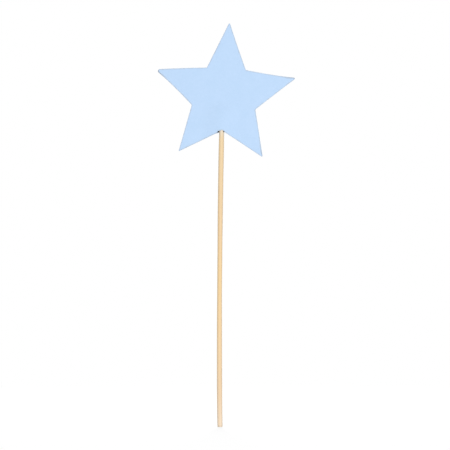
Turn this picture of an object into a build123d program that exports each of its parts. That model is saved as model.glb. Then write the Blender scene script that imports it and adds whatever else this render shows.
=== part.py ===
from build123d import *
import math
import os

# A star cake topper: two star cards glued face to face over the end of a bamboo stick.
# Millimetres and degrees. The origin is the centre of the stick's lower cut end, +Z runs up
# the stick, the star faces -Y, and +X is to the right of someone who looks at its face.

# Star cards, both cut by hand round one template
STAR_SPAN = 70.0  # between the tips of the two side arms
STAR_CORE_RADIUS = 17.0  # from the star's centre to the corners between its arms
CARD_THICKNESS = 0.4
TIP_ROUND = 0.35
CORNER_ROUND = 0.25
EDGE_HOLLOW = 0.45  # how far the most hollow cut lies in from a straight one, at its middle
STAR_TILT = 3.8  # clockwise lean of the star's upper arm, seen from its face
BACK_CARD_SKEW = 0.05  # how far the back card was laid out of register, anticlockwise
NOTCH_OFFSET = 0.2  # the lower corner between two arms lies this far right of the stick

# No two arms are quite alike. These run clockwise, the tips from the upper arm and the corners
# from the one after it. Shares are of the tip's reach, the core radius, the two rounds and the
# hollow of the edge that follows, and swings are in degrees off the regular star.
TIP_REACH_SHARES = (1.016, 1.018, 0.99, 0.984, 1.019)
TIP_ROUND_SHARES = (1.15, 1.45, 1.0, 0.5, 2.75)
TIP_HOLLOW_SHARES = (0.35, 0.25, 0.0, 0.0, -0.3)
TIP_SWINGS = (0.24, 0.12, 0.2, -0.1, -0.74)
CORNER_REACH_SHARES = (1.002, 1.0, 1.02, 1.004, 0.992)
CORNER_ROUND_SHARES = (2.0, 3.5, 1.0, 3.0, 1.0)
CORNER_HOLLOW_SHARES = (0.75, 0.0, 0.0, 1.0, 0.0)
CORNER_SWINGS = (-0.38, 1.65, 0.0, -1.14, 0.5)
NOTCH = 2  # the corner that the stick comes out of

# Bamboo stick: straight, then bowed, then straight again between the cards
STICK_DIAMETER = 2.5
STICK_STRAIGHT_LENGTH = 60.0
STICK_BOWED_LENGTH = 89.5
STICK_TUCKED_LENGTH = 8.5
STICK_LEAN = 1.3  # lean to the right where the stick enters the star
STICK_END_ROUND = 0.2

# Ridge that the cards form over the stick's tucked end, bent alike at its crown and its feet
RIDGE_SLOPE = 9.5
RIDGE_BEND_RADIUS = 18.0
RIDGE_RUN_OUT = 6.5  # length over which the ridge dies away past the stick's end
RUN_OUT_END_HALF_WIDTH = 3.0
RUN_OUT_BEND_SHARES = (1.0, 0.7, 0.3)  # where the bends end, across the run-out's end

# Glue
GLUE_FILM_THICKNESS = 0.1
GLUE_FILM_SETBACK = 1.2  # from the cards' edges and from the foot of the ridge
GLUE_BEAD_INNER = 0.8  # from the stick's axis
GLUE_BEAD_OUTER = 2.9
GLUE_BEAD_SETBACK = 1.5  # from the notch and from the stick's hidden end

CUT_OVERRUN = 5.0

# Sizes that follow from those above
STICK_RADIUS = STICK_DIAMETER / 2
STAR_ARMS = len(TIP_REACH_SHARES)
STAR_TIP_RADIUS = STAR_SPAN / 2 / math.sin(2 * math.pi / STAR_ARMS)
BOW_RADIUS = STICK_BOWED_LENGTH / math.radians(STICK_LEAN)
ENTRY_X = BOW_RADIUS * (1 - math.cos(math.radians(STICK_LEAN)))
ENTRY_Z = STICK_STRAIGHT_LENGTH + BOW_RADIUS * math.sin(math.radians(STICK_LEAN))
FILM_FACE = GLUE_FILM_THICKNESS / 2
RIDGE_END = STICK_TUCKED_LENGTH + RIDGE_RUN_OUT
SHEET_HALF_WIDTH = STAR_SPAN
SHEET_BOTTOM = -STAR_SPAN
SHEET_TOP = STAR_SPAN

# The cards' inner faces touch the stick along the ridge's crown and come down to the glue film.
# Each bend takes a tangent length on both sides of the corner that it rounds off.
RIDGE_RISE = STICK_RADIUS - FILM_FACE
BEND_SHARE = math.tan(math.radians(RIDGE_SLOPE / 2))
BEND_TANGENT = RIDGE_BEND_RADIUS * BEND_SHARE
RIDGE_HALF_WIDTH = RIDGE_RISE / math.tan(math.radians(RIDGE_SLOPE)) + BEND_TANGENT
RIDGE_FOOT_REACH = RIDGE_HALF_WIDTH + BEND_TANGENT

# The star is built about the stick's entry point, with Z along the tucked stick
STAR_PLACE = Location((ENTRY_X, 0, ENTRY_Z)) * Rot(Y=STICK_LEAN)
STAR_TURN = STAR_TILT - STICK_LEAN
NOTCH_RADIUS = STAR_CORE_RADIUS * CORNER_REACH_SHARES[NOTCH]
STAR_CENTRE_X = NOTCH_OFFSET + NOTCH_RADIUS * math.sin(math.radians(STAR_TURN))
STAR_CENTRE_Z = NOTCH_RADIUS * math.cos(math.radians(STAR_TURN))


def star_point(reach, turn):
    """Point of the outline, at a reach and a clockwise turn from straight up."""
    return (reach * math.sin(math.radians(turn)), reach * math.cos(math.radians(turn)))


def cut_edge(start, end, hollow):
    """Edge from one point of the outline to the next, cut hollow by this much at its middle."""
    if hollow:
        return SagittaArc(start, end, -hollow)
    return Line(start, end)


def star_outline(skew):
    """Outline of one card, as a face in the XZ plane, turned anticlockwise by skew degrees."""
    step = 360 / STAR_ARMS
    points = []
    rounds = []
    hollows = []
    for arm in range(STAR_ARMS):
        turn = STAR_TURN - skew + arm * step
        tip_reach = STAR_TIP_RADIUS * TIP_REACH_SHARES[arm]
        corner_reach = STAR_CORE_RADIUS * CORNER_REACH_SHARES[arm]
        points.append(star_point(tip_reach, turn + TIP_SWINGS[arm]))
        rounds.append(TIP_ROUND * TIP_ROUND_SHARES[arm])
        hollows.append(EDGE_HOLLOW * TIP_HOLLOW_SHARES[arm])
        points.append(star_point(corner_reach, turn + step / 2 + CORNER_SWINGS[arm]))
        rounds.append(CORNER_ROUND * CORNER_ROUND_SHARES[arm])
        hollows.append(EDGE_HOLLOW * CORNER_HOLLOW_SHARES[arm])
    ends = points[1:] + points[:1]
    outline = make_face([cut_edge(*cut) for cut in zip(points, ends, hollows)])
    for point, radius in zip(points, rounds):
        sharp_corner = outline.vertices().sort_by_distance(Vector(*point))[0]
        outline = fillet(sharp_corner, radius)
    centre = Location((STAR_CENTRE_X, 0, STAR_CENTRE_Z))
    return centre * (Plane.XZ * outline)


def fold_line(side, lift):
    """Section line of a card across the ridge, lift away from the card's inner face.

    side is -1 on the front card and 1 on the back card.
    """
    flat = side * (FILM_FACE + lift)
    foot = RIDGE_HALF_WIDTH + lift * BEND_SHARE
    crown = flat + side * foot * math.tan(math.radians(RIDGE_SLOPE))
    foot_radius = RIDGE_BEND_RADIUS - lift
    return FilletPolyline(
        (-SHEET_HALF_WIDTH, flat),
        (-foot, flat),
        (0, crown),
        (foot, flat),
        (SHEET_HALF_WIDTH, flat),
        radius=(foot_radius, RIDGE_BEND_RADIUS + lift, foot_radius),
    )


def flat_line(side, lift):
    """Straight section line past the ridge, with a point for each end of the fold line's bends."""
    flat = side * (FILM_FACE + lift)
    reaches = [SHEET_HALF_WIDTH]
    reaches += [share * RUN_OUT_END_HALF_WIDTH for share in RUN_OUT_BEND_SHARES]
    points = [(-reach, flat) for reach in reaches]
    points += [(reach, flat) for reach in reversed(reaches)]
    return Polyline(*points)


def card_section(line_maker, side, height):
    """Closed section of a card at a height along the stick."""
    inner = line_maker(side, 0)
    outer = line_maker(side, CARD_THICKNESS)
    start = Line(outer @ 0, inner @ 0)
    end = Line(inner @ 1, outer @ 1)
    return Plane.XY.offset(height) * make_face([start, *inner.edges(), end, *outer.edges()])


def card_sheet(side):
    """Uncut sheet: ridged along the stick, running out past its end, then flat."""
    ridged = extrude(
        card_section(fold_line, side, SHEET_BOTTOM), amount=STICK_TUCKED_LENGTH - SHEET_BOTTOM
    )
    run_out = loft(
        [
            card_section(fold_line, side, STICK_TUCKED_LENGTH),
            card_section(flat_line, side, RIDGE_END),
        ],
        ruled=True,
    )
    flat = extrude(card_section(flat_line, side, RIDGE_END), amount=SHEET_TOP - RIDGE_END)
    return ridged + run_out + flat


def star_card(side, skew):
    """One card: the formed sheet, cut to the star's outline."""
    reach = STICK_RADIUS + CARD_THICKNESS + CUT_OVERRUN
    cutter = extrude(star_outline(skew), amount=reach, both=True)
    return card_sheet(side) & cutter


def stick():
    """Round bamboo stick, swept along its bow, with its lower cut edge broken."""
    with BuildLine(Plane.XZ) as route:
        straight = Line((0, 0), (0, STICK_STRAIGHT_LENGTH))
        bow = JernArc(straight @ 1, (0, 1), BOW_RADIUS, -STICK_LEAN)
        Line(bow @ 1, bow @ 1 + (bow % 1) * STICK_TUCKED_LENGTH)
    rod = sweep(Circle(STICK_RADIUS), path=route.wire())
    lower_edge = rod.edges().sort_by(Axis.Z)[0]
    return fillet(lower_edge, STICK_END_ROUND)


def glue_layer():
    """Film of glue between the cards, clear of their edges and of the ridge."""
    film = extrude(
        offset(star_outline(0), -GLUE_FILM_SETBACK, kind=Kind.INTERSECTION),
        amount=FILM_FACE,
        both=True,
    )
    side = RIDGE_FOOT_REACH + GLUE_FILM_SETBACK
    end_side = RUN_OUT_END_HALF_WIDTH + GLUE_FILM_SETBACK
    channel_line = Polyline(
        (-side, SHEET_BOTTOM),
        (-side, STICK_TUCKED_LENGTH),
        (-end_side, RIDGE_END),
        (end_side, RIDGE_END),
        (side, STICK_TUCKED_LENGTH),
        (side, SHEET_BOTTOM),
        close=True,
    )
    channel = extrude(Plane.XZ * make_face(channel_line), amount=FILM_FACE + CUT_OVERRUN, both=True)
    return film - channel


def stick_glue(rod):
    """Two beads of glue that fill the channel beside the tucked stick."""
    width = GLUE_BEAD_OUTER - GLUE_BEAD_INNER
    middle = (GLUE_BEAD_OUTER + GLUE_BEAD_INNER) / 2
    length = STICK_TUCKED_LENGTH - 2 * GLUE_BEAD_SETBACK
    beads = Part()
    for side in (-1, 1):
        place = Location((side * middle, 0, STICK_TUCKED_LENGTH / 2))
        beads += place * Box(width, STICK_DIAMETER, length)
    return beads - rod - card_sheet(-1) - card_sheet(1)


def main():
    """Builds every piece in place and writes each to its own file."""
    rod = stick()
    pieces = {
        "front_star": STAR_PLACE * star_card(-1, 0),
        "back_star": STAR_PLACE * star_card(1, BACK_CARD_SKEW),
        "stick": rod,
        "glue_layer": STAR_PLACE * glue_layer(),
        "stick_glue": STAR_PLACE * stick_glue(STAR_PLACE.inverse() * rod),
    }
    os.makedirs("parts", exist_ok=True)
    for name, piece in pieces.items():
        export_step(piece, f"parts/{name}.step")


main()
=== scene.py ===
"""Dresses a star cake topper: two pale blue card stars glued over a bamboo stick, on a white set."""

import logging
import math
from dataclasses import dataclass
from enum import Enum
from typing import Iterable, Sequence

import bmesh
import bpy
from mathutils import Color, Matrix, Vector, noise


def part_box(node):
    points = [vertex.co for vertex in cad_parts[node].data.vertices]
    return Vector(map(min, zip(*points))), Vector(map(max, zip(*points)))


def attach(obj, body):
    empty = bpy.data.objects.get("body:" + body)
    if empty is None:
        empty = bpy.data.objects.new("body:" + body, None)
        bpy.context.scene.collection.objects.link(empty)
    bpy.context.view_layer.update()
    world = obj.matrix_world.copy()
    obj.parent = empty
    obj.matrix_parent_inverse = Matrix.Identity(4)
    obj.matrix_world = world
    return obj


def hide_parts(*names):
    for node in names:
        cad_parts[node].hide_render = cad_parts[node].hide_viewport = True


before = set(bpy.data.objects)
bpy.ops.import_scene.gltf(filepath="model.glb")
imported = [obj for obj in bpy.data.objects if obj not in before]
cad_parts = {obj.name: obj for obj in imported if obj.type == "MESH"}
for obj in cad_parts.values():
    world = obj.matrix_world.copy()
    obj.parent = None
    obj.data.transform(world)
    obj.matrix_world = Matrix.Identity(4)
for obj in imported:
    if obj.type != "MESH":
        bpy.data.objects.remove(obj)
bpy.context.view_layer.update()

MM = 0.001
BODY = "root"
RIM_LAYER = "rim"
SMOOTH_LIMIT = math.radians(35)
DEGREES_ROUND = 360.0
QUARTER_TURN = math.pi / 2
FULL_LEVEL = 255
NOISE_MIDDLE = 0.5
# A shallow bow leaves its ends at a slope of four times its depth over its length.
BOW_SLOPE = 4
# The mix node's sockets for colours: the share, the two colours and the result.
MIX_INPUTS = (0, 6, 7)
MIX_RESULT = 2
LOG = logging.getLogger("cake_topper")

Tint = tuple[int, int, int]
Rgba = tuple[float, float, float, float]
Span = tuple[float, float]
Stops = tuple[tuple[float, float], ...]
Row = tuple[float, ...]
Loop = list[Vector]
Corners = list[tuple[Vector, float, float]]
Feed = float | Sequence[float] | bpy.types.NodeSocket
Inputs = dict[str | int, Feed]

WHITE: Tint = (255, 255, 255)
BLACK: Tint = (0, 0, 0)


class Side(Enum):
    """Which of the two cards, as the sign of its depth from the middle plane."""

    FRONT = -1
    BACK = 1


class Hand(Enum):
    """Which side of the stick, as the sign of the distance across it."""

    LEFT = -1
    RIGHT = 1


class CardFace(Enum):
    """Which part of a card's surface, as the number of its material."""

    OUTER = 0
    EDGE = 1
    INNER = 2


class StickFace(Enum):
    """Which part of the stick's surface, as the number of its material."""

    ROUND = 0
    SAWN = 1


def linear(tint: Tint) -> Rgba:
    """Turns sRGB levels into a linear colour.

    Args:
        tint: Red, green and blue levels from 0 to 255.

    Returns:
        The linear colour with full alpha.
    """
    colour = Color([level / FULL_LEVEL for level in tint]).from_srgb_to_scene_linear()
    return (colour.r, colour.g, colour.b, 1.0)


def ease(share: float) -> float:
    """Rises smoothly from 0 to 1 as the share does."""
    held = min(max(share, 0.0), 1.0)
    return held * held * (3.0 - 2.0 * held)


def read_stops(stops: Stops, at: float) -> float:
    """Reads a value off a row of stops, eased from each stop to the next.

    Args:
        stops: Pairs of place and value, in rising places.
        at: The place to read.

    Returns:
        The eased value, held flat past the ends.
    """
    place, value = stops[0]
    for next_place, next_value in stops[1:]:
        if at <= next_place:
            return value + (next_value - value) * ease((at - place) / (next_place - place))
        place, value = next_place, next_value
    return value


def ripple(point: Vector, size: float, seed: float) -> float:
    """Smooth noise from about -1 to 1 at a point, with features of a given size in metres."""
    return noise.noise(point / size + Vector((seed, seed, seed)))


def outward(points: Loop, index: int) -> Vector:
    """Outward direction at a point of a clockwise outline in the upright plane."""
    ahead = points[(index + 1) % len(points)] - points[index - 1]
    return Vector((-ahead.z, 0.0, ahead.x)).normalized()


def loft(name: str, loops: Sequence[Loop], start: Vector, end: Vector) -> bpy.types.Object:
    """Skins a stack of closed loops and closes each end on a point.

    Args:
        name: Name of the new piece.
        loops: Loops with the same number of points, in order.
        start: Point that closes the first loop.
        end: Point that closes the last loop.

    Returns:
        The new object, linked to the scene, with its faces in rows from start to end.
    """
    count = len(loops[0])
    points = [start, *(point for loop in loops for point in loop), end]
    last = len(points) - 1
    firsts = [1 + row * count for row in range(len(loops))]
    turns = [(i, (i + 1) % count) for i in range(count)]
    faces: list[tuple[int, ...]] = [(0, firsts[0] + j, firsts[0] + i) for i, j in turns]
    for low, high in zip(firsts, firsts[1:]):
        faces += [(low + i, low + j, high + j, high + i) for i, j in turns]
    faces += [(firsts[-1] + i, firsts[-1] + j, last) for i, j in turns]
    mesh = bpy.data.meshes.new(name)
    mesh.from_pydata(points, [], faces)
    sheet = bmesh.new()
    sheet.from_mesh(mesh)
    bmesh.ops.recalc_face_normals(sheet, faces=sheet.faces)
    sheet.to_mesh(mesh)
    sheet.free()
    mesh.polygons.foreach_set("use_smooth", [True] * len(mesh.polygons))
    mesh.set_sharp_from_angle(angle=SMOOTH_LIMIT)
    piece = bpy.data.objects.new(name, mesh)
    bpy.context.scene.collection.objects.link(piece)
    return piece


def mark_rim(piece: bpy.types.Object, values: Iterable[float]) -> None:
    """Stores how near each point is to an edge, for the edge mask.

    Args:
        piece: A lofted piece.
        values: One for each point: 0 well inside, 1 at the edge and more where a card's painted shade
            is deeper.
    """
    layer = piece.data.attributes.new(RIM_LAYER, "FLOAT", "POINT")
    layer.data.foreach_set("value", list(values))


def tie(piece: bpy.types.Object, node: str) -> None:
    """Ties a piece to the frame.

    Args:
        piece: A finished piece.
        node: The solid that it stands for.
    """
    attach(piece, BODY)
    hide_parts(node)


class Wiring:
    """Adds nodes to one node tree and joins their sockets."""

    def __init__(self, tree: bpy.types.NodeTree) -> None:
        """Keeps the tree that the nodes go to."""
        self.tree = tree

    def feed(self, node: bpy.types.Node, inputs: Inputs) -> None:
        """Sets or joins a node's inputs.

        Args:
            node: The node.
            inputs: Socket name or number to a value, or to the socket that feeds it.
        """
        for socket, value in inputs.items():
            if isinstance(value, bpy.types.NodeSocket):
                self.tree.links.new(value, node.inputs[socket])
            else:
                node.inputs[socket].default_value = value

    def add(self, kind: str, inputs: Inputs | None = None, **settings: object) -> bpy.types.Node:
        """Adds a node.

        Args:
            kind: Blender's name for the node type.
            inputs: Socket name or number to a value, or to the socket that feeds it.
            **settings: Properties of the node.

        Returns:
            The new node.
        """
        node = self.tree.nodes.new(kind)
        for name, value in settings.items():
            setattr(node, name, value)
        self.feed(node, inputs or {})
        return node

    def effect(self, effect: "Effect", **inputs: Feed) -> bpy.types.bpy_prop_collection:
        """Places an effect's node group with its own values.

        Args:
            effect: Which effect.
            **inputs: Socket values or feeds, with underscores for spaces.

        Returns:
            The group's outputs, by name.
        """
        node = self.add("ShaderNodeGroup", node_tree=effect.group())
        self.feed(node, {name.replace("_", " ").capitalize(): feed for name, feed in inputs.items()})
        return node.outputs

    def place(self) -> bpy.types.NodeSocket:
        """Adds a reading of where a point of the surface lies, in metres."""
        return self.add("ShaderNodeTexCoord").outputs["Object"]

    def rim(self) -> bpy.types.NodeSocket:
        """Adds a reading of how near a point of the surface is to an edge."""
        return self.add("ShaderNodeAttribute", attribute_name=RIM_LAYER).outputs["Fac"]

    def maths(self, operation: str, *values: Feed) -> bpy.types.NodeSocket:
        """Adds a maths node on values or sockets and returns its result."""
        return self.add("ShaderNodeMath", dict(enumerate(values)), operation=operation).outputs[0]

    def mix(self, share: Feed, first: Feed, second: Feed) -> bpy.types.NodeSocket:
        """Adds a colour mix from first to second and returns its result."""
        inputs = dict(zip(MIX_INPUTS, (share, first, second)))
        return self.add("ShaderNodeMix", inputs, data_type="RGBA").outputs[MIX_RESULT]

    def tinge(self, under: Feed, tint: Tint, mask: Feed, share: float) -> bpy.types.NodeSocket:
        """Lays a share of a tint over a colour where a mask is, and returns the result."""
        return self.mix(self.maths("MULTIPLY", mask, share), under, linear(tint))

    def span(self, value: Feed, low: float, high: float) -> bpy.types.NodeSocket:
        """Maps a range of values onto 0 to 1, smoothly.

        Args:
            value: What is mapped.
            low: The value that becomes 0, as do all below it.
            high: The value that becomes 1, as do all above it.

        Returns:
            The mapped value.
        """
        inputs = {"Value": value, "From Min": low, "From Max": high}
        node = self.add("ShaderNodeMapRange", inputs, interpolation_type="SMOOTHSTEP")
        return node.outputs["Result"]

    def clouds(self, place: Feed, scale: Feed, seed: Feed, **more: float) -> bpy.types.NodeSocket:
        """Adds seeded noise.

        Args:
            place: Where it is read.
            scale: Number of its features in a metre.
            seed: Shifts the pattern.
            **more: The noise node's other inputs, in small letters.

        Returns:
            The noise, which lies about its middle.
        """
        inputs = {"Vector": place, "W": seed, "Scale": scale}
        inputs |= {name.capitalize(): value for name, value in more.items()}
        return self.add("ShaderNodeTexNoise", inputs, noise_dimensions="4D").outputs["Fac"]

    def bump(self, height: Feed, depth: float, strength: float) -> bpy.types.NodeSocket:
        """Adds relief of a given depth and returns its normal."""
        inputs = {"Height": height, "Distance": depth, "Strength": strength}
        return self.add("ShaderNodeBump", inputs).outputs["Normal"]


def group_ends(
    tree: bpy.types.NodeTree, inputs: Iterable[str], outputs: Iterable[str]
) -> tuple[Wiring, bpy.types.bpy_prop_collection, bpy.types.Node]:
    """Gives a group its named sockets.

    Args:
        tree: The new group.
        inputs: Names of the number inputs.
        outputs: Names of the number outputs.

    Returns:
        The wiring, what the group is given, by name, and the node that takes its outputs.
    """
    for end, names in (("INPUT", inputs), ("OUTPUT", outputs)):
        for name in names:
            tree.interface.new_socket(name, in_out=end, socket_type="NodeSocketFloat")
    wiring = Wiring(tree)
    return wiring, wiring.add("NodeGroupInput").outputs, wiring.add("NodeGroupOutput")


@dataclass(frozen=True)
class Mottle:
    """Cloudy patches of two sizes, as in paper pulp or dried glue."""

    name: str = "soft_mottle"
    # Number of fine patches across one wide patch.
    fine_count: float = 5.0
    detail: float = 2.0
    cloud_span: Span = (0.7, 1.3)

    def build(self, tree: bpy.types.NodeTree) -> None:
        """Wires the group, from a patch size to a mask.

        Args:
            tree: The new group.
        """
        wiring, given, out = group_ends(tree, ("Patch size", "Seed"), ("Mask",))
        place, seed = wiring.place(), given["Seed"]
        wide = wiring.maths("DIVIDE", 1.0, given["Patch size"])
        fine = wiring.maths("MULTIPLY", wide, self.fine_count)
        both = [wiring.clouds(place, scale, seed, detail=self.detail) for scale in (wide, fine)]
        wiring.feed(out, {"Mask": wiring.span(wiring.maths("ADD", *both), *self.cloud_span)})


@dataclass(frozen=True)
class Tooth:
    """The tooth of uncoated card: fine grain with short pressed fibres across it."""

    name: str = "paper_tooth"
    grain_detail: float = 3.0
    grain_roughness: float = 0.6
    # Number of fibres across one grain, so a fibre spans several grains.
    fibre_count: float = 0.22
    fibre_detail: float = 1.0
    fibre_distortion: float = 1.4
    fibre_width: float = 0.035
    fibre_rise: float = 0.35

    def build(self, tree: bpy.types.NodeTree) -> None:
        """Wires the group, from a grain size to a height and a mask of the fibres.

        Args:
            tree: The new group.
        """
        wiring, given, out = group_ends(tree, ("Grain size", "Seed"), ("Height", "Fibres"))
        place, seed = wiring.place(), given["Seed"]
        fine = wiring.maths("DIVIDE", 1.0, given["Grain size"])
        long = wiring.maths("MULTIPLY", fine, self.fibre_count)
        grain = wiring.clouds(
            place, fine, seed, detail=self.grain_detail, roughness=self.grain_roughness
        )
        lines = wiring.clouds(
            place, long, seed, detail=self.fibre_detail, distortion=self.fibre_distortion
        )
        off_line = wiring.maths("ABSOLUTE", wiring.maths("SUBTRACT", lines, NOISE_MIDDLE))
        fibres = wiring.maths("SUBTRACT", 1.0, wiring.span(off_line, 0.0, self.fibre_width))
        raised = wiring.maths("MULTIPLY", fibres, self.fibre_rise)
        wiring.feed(out, {"Height": wiring.maths("ADD", grain, raised), "Fibres": fibres})


@dataclass(frozen=True)
class Fibre:
    """Long fibres that run up the stick, in bundles with dark lines between them."""

    name: str = "long_fibre"
    # Number of bundles across one thread, so a bundle spans several threads.
    bundle_count: float = 0.22
    bundle_detail: float = 2.0
    bundle_span: Span = (0.32, 0.68)
    thread_detail: float = 3.0
    line_span: Span = (0.6, 0.72)

    def build(self, tree: bpy.types.NodeTree) -> None:
        """Wires the group, from a fibre width to masks of the bundles and lines and a height.

        Args:
            tree: The new group.
        """
        names = ("Fibre width", "Stretch", "Seed")
        wiring, given, out = group_ends(tree, names, ("Bundles", "Lines", "Height"))
        seed = given["Seed"]
        slow = wiring.maths("DIVIDE", 1.0, given["Stretch"])
        squeeze = wiring.add("ShaderNodeCombineXYZ", {"X": 1.0, "Y": 1.0, "Z": slow}).outputs[0]
        inputs = {0: wiring.place(), 1: squeeze}
        drawn = wiring.add("ShaderNodeVectorMath", inputs, operation="MULTIPLY").outputs[0]
        fine = wiring.maths("DIVIDE", 1.0, given["Fibre width"])
        wide = wiring.maths("MULTIPLY", fine, self.bundle_count)
        bundles = wiring.clouds(drawn, wide, seed, detail=self.bundle_detail)
        threads = wiring.clouds(drawn, fine, seed, detail=self.thread_detail)
        wiring.feed(out, {
            "Bundles": wiring.span(bundles, *self.bundle_span),
            "Lines": wiring.span(threads, *self.line_span),
            "Height": wiring.maths("ADD", bundles, threads),
        })


@dataclass(frozen=True)
class EdgeMask:
    """A broken-up mask that gathers towards an edge: for the stick's darker lower end, and for
    painted shade along the cards' edges.
    """

    name: str = "edge_rub"
    detail: float = 3.0
    mask_span: Span = (0.45, 1.05)

    def build(self, tree: bpy.types.NodeTree) -> None:
        """Wires the group, from the nearness of an edge to a mask.

        Args:
            tree: The new group.
        """
        wiring, given, out = group_ends(tree, ("Rim", "Patch size", "Seed"), ("Mask",))
        scale = wiring.maths("DIVIDE", 1.0, given["Patch size"])
        patches = wiring.clouds(wiring.place(), scale, given["Seed"], detail=self.detail)
        reach = wiring.maths("ADD", given["Rim"], wiring.maths("SUBTRACT", patches, NOISE_MIDDLE))
        wiring.feed(out, {"Mask": wiring.span(reach, *self.mask_span)})


class Effect(Enum):
    """Surface effects of the finishes, each a node group that is built once."""

    MOTTLE = Mottle()
    TOOTH = Tooth()
    FIBRE = Fibre()
    RUB = EdgeMask()

    def group(self) -> bpy.types.NodeTree:
        """Finds the effect's node group.

        Returns:
            The group, which is built the first time.
        """
        made = bpy.data.node_groups.get(self.value.name)
        if made is None:
            made = bpy.data.node_groups.new(self.value.name, "ShaderNodeTree")
            self.value.build(made)
        return made


def new_material(name: str) -> tuple[bpy.types.Material, Wiring, bpy.types.Node]:
    """Starts a node material.

    Args:
        name: Name of the material.

    Returns:
        The material, its wiring and its Principled shader.
    """
    material = bpy.data.materials.new(name)
    material.use_nodes = True
    shader = material.node_tree.nodes["Principled BSDF"]
    return material, Wiring(material.node_tree), shader


@dataclass(frozen=True)
class Spot:
    """A small ragged patch of painted shade on a card or the stick."""

    place: Vector
    tint: Tint
    reach: float
    seed: float = 2.2
    patch_share: float = 0.5
    ragged_share: float = 0.35
    full_share: float = 0.6
    clean_share: float = 1.15

    def over(self, wiring: Wiring, colour: bpy.types.NodeSocket) -> bpy.types.NodeSocket:
        """Lays the patch over a colour.

        Args:
            wiring: Where the nodes go.
            colour: The clean colour.

        Returns:
            The colour, covered at the middle of the patch and clean past its reach.
        """
        inputs = {0: wiring.place(), 1: self.place}
        gap = wiring.add("ShaderNodeVectorMath", inputs, operation="DISTANCE").outputs["Value"]
        patch = self.reach * self.patch_share
        mottle = wiring.effect(Effect.MOTTLE, patch_size=patch, seed=self.seed)["Mask"]
        ragged = wiring.maths("MULTIPLY_ADD", mottle, self.reach * self.ragged_share, gap)
        clean = wiring.span(ragged, self.reach * self.full_share, self.reach * self.clean_share)
        return wiring.mix(clean, linear(self.tint), colour)


@dataclass(frozen=True)
class CardFinish:
    """Uncoated pale blue card, on its faces."""

    name: str
    seed: float
    spot: Spot | None = None
    light: Tint = (197, 223, 253)
    dark: Tint = (194, 221, 251)
    fibre: Tint = (189, 216, 247)
    # Painted shade: the first tint darkens the cut edge, the second darkens it further near some
    # tips, where the gap between the cards is in shade.
    rim_shade: Tint = (186, 203, 224)
    tip_shade: Tint = (138, 152, 172)
    fibre_share: float = 0.5
    rim_shade_share: float = 0.85
    tip_shade_span: Span = (1.0, 1.9)
    patch: float = 7.0 * MM
    edge_patch: float = 1.75 * MM
    grain: float = 0.16 * MM
    relief: float = 0.02 * MM
    relief_strength: float = 0.5
    rough: float = 0.82
    rough_drift: float = 0.08
    gloss: float = 0.25

    def material(self) -> bpy.types.Material:
        """Builds the material: cloudy pulp, pressed fibres, a fine tooth, and painted shade along the
        cut edge, near some tips and in any spot.

        Returns:
            The material for a face of a card.
        """
        material, wiring, shader = new_material(self.name)
        mottle = wiring.effect(Effect.MOTTLE, patch_size=self.patch, seed=self.seed)["Mask"]
        tooth = wiring.effect(Effect.TOOTH, grain_size=self.grain, seed=self.seed)
        rim = wiring.rim()
        rim_mask = wiring.effect(Effect.RUB, rim=rim, patch_size=self.edge_patch, seed=self.seed)["Mask"]
        pulp = wiring.mix(mottle, linear(self.light), linear(self.dark))
        flecked = wiring.tinge(pulp, self.fibre, tooth["Fibres"], self.fibre_share)
        # Painted shade, darker along the cut edge and darker still near some tips.
        rim_shaded = wiring.tinge(flecked, self.rim_shade, rim_mask, self.rim_shade_share)
        colour = wiring.mix(wiring.span(rim, *self.tip_shade_span), rim_shaded, linear(self.tip_shade))
        # A card's spot is painted shade in the channel mouth beside the stick.
        if self.spot:
            colour = self.spot.over(wiring, colour)
        wiring.feed(shader, {
            "Base Color": colour,
            "Roughness": wiring.maths("MULTIPLY_ADD", mottle, self.rough_drift, self.rough),
            "Normal": wiring.bump(tooth["Height"], self.relief, self.relief_strength),
            "Specular IOR Level": self.gloss,
        })
        return material


@dataclass(frozen=True)
class CutEdgeFinish:
    """The cut edge of the card, where its layers of pulp show."""

    name: str
    seed: float
    core: Tint = (200, 219, 241)
    dark: Tint = (182, 203, 228)
    layer_span: Span = (0.35, 0.8)
    grain: float = 0.09 * MM
    relief: float = 0.03 * MM
    relief_strength: float = 0.7
    rough: float = 0.92
    gloss: float = 0.2

    def material(self) -> bpy.types.Material:
        """Builds the material: a greyer core with torn fibres along the cut.

        Returns:
            The material for the cut edge of a card.
        """
        material, wiring, shader = new_material(self.name)
        height = wiring.effect(Effect.TOOTH, grain_size=self.grain, seed=self.seed)["Height"]
        layers = wiring.span(height, *self.layer_span)
        wiring.feed(shader, {
            "Base Color": wiring.mix(layers, linear(self.dark), linear(self.core)),
            "Normal": wiring.bump(height, self.relief, self.relief_strength),
            "Roughness": self.rough,
            "Specular IOR Level": self.gloss,
        })
        return material


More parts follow.
